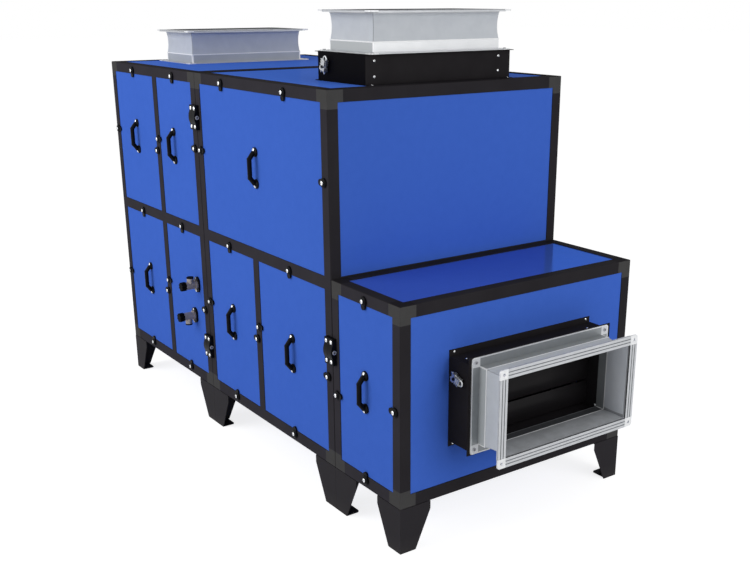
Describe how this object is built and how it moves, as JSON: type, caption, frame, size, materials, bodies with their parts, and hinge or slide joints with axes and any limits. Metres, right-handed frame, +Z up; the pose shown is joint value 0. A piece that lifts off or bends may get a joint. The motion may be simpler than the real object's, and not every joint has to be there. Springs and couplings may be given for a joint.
{
  "type": "air handling unit",
  "caption": "Two-tier air handling unit on folded legs, with blue panels in a dark frame, multi-blade duct dampers and flexible duct connectors.",
  "frame": {"origin": "on the floor under the middle of the unit's overall box", "axes": "+X along the unit from the plain rear end to the low end with its duct, +Y from the service side to the back, +Z up"},
  "size_m": [2.292, 1.011, 1.572],
  "materials": {
    "frame_profile": "satin",
    "corner_moulding": "matte",
    "blue_panel": "satin",
    "black_sheet": "satin",
    "black_moulding": "satin",
    "galvanised_sheet": "satin",
    "plated_fitting": "satin",
    "sleeve_fabric": "matte"
  },
  "bodies": {
    "unit": {"rear_section_frame": "frame_profile", "mid_section_frame": "frame_profile", "low_section_frame": "frame_profile", "corner_blocks": "corner_moulding", "mid_rails": "frame_profile", "mullions": "frame_profile", "upper_panel_rear": "blue_panel", "upper_panel_centre": "blue_panel", "upper_panel_mid": "blue_panel", "lower_panel_rear": "blue_panel", "coil_panel": "blue_panel", "lower_panel_mid_left": "blue_panel", "lower_panel_mid_right": "blue_panel", "lower_panel_end": "blue_panel", "step_panel": "blue_panel", "end_panel": "blue_panel", "rear_end_panels": "blue_panel", "back_panels": "blue_panel", "rear_top_panel": "blue_panel", "mid_top_panel": "blue_panel", "low_top_panel": "blue_panel", "floor_panels": "blue_panel", "legs": "black_sheet", "panel_handles": "black_moulding", "panel_latches": "black_moulding", "section_clamps": "black_moulding", "coil_flanges": "plated_fitting", "coil_pipe_ends": "plated_fitting", "coil_caps": "black_moulding", "end_damper_casing": "black_sheet", "top_damper_casing": "black_sheet", "connector_flanges": "galvanised_sheet", "flange_corners": "galvanised_sheet", "connector_collars": "galvanised_sheet", "connector_sleeves": "sleeve_fabric"},
    "end_blade_upper": {"end_damper_blade_upper": "black_sheet", "end_damper_clamp": "galvanised_sheet"},
    "end_blade_centre": {"end_damper_blade_centre": "black_sheet"},
    "end_blade_lower": {"end_damper_blade_lower": "black_sheet"},
    "top_blade_rear": {"top_damper_blade_rear": "black_sheet", "top_damper_clamp": "galvanised_sheet"},
    "top_blade_centre": {"top_damper_blade_centre": "black_sheet"},
    "top_blade_front": {"top_damper_blade_front": "black_sheet"}
  },
  "joints": [
    {"name": "end_damper_turn", "type": "hinge", "parent": "unit", "child": "end_blade_upper", "pos_m": [0.973, 0.0355, 0.55], "axis": [0, 1, 0], "range_deg": [0, 90]},
    {"name": "end_damper_turn_centre", "type": "hinge", "parent": "unit", "child": "end_blade_centre", "pos_m": [0.973, 0.0355, 0.468], "axis": [0, 1, 0], "range_deg": [-90, 0]},
    {"name": "end_damper_turn_lower", "type": "hinge", "parent": "unit", "child": "end_blade_lower", "pos_m": [0.973, 0.0355, 0.386], "axis": [0, 1, 0], "range_deg": [0, 90]},
    {"name": "top_damper_turn", "type": "hinge", "parent": "unit", "child": "top_blade_rear", "pos_m": [0.279, 0.0355, 1.399], "axis": [0, 1, 0], "range_deg": [0, 90]},
    {"name": "top_damper_turn_centre", "type": "hinge", "parent": "unit", "child": "top_blade_centre", "pos_m": [0.361, 0.0355, 1.399], "axis": [0, 1, 0], "range_deg": [-90, 0]},
    {"name": "top_damper_turn_front", "type": "hinge", "parent": "unit", "child": "top_blade_front", "pos_m": [0.443, 0.0355, 1.399], "axis": [0, 1, 0], "range_deg": [0, 90]}
  ],
  "couplings": [
    {"joint": "end_damper_turn_centre", "follows": "end_damper_turn", "ratio": -1},
    {"joint": "end_damper_turn_lower", "follows": "end_damper_turn", "ratio": 1},
    {"joint": "top_damper_turn_centre", "follows": "top_damper_turn", "ratio": -1},
    {"joint": "top_damper_turn_front", "follows": "top_damper_turn", "ratio": 1}
  ]
}
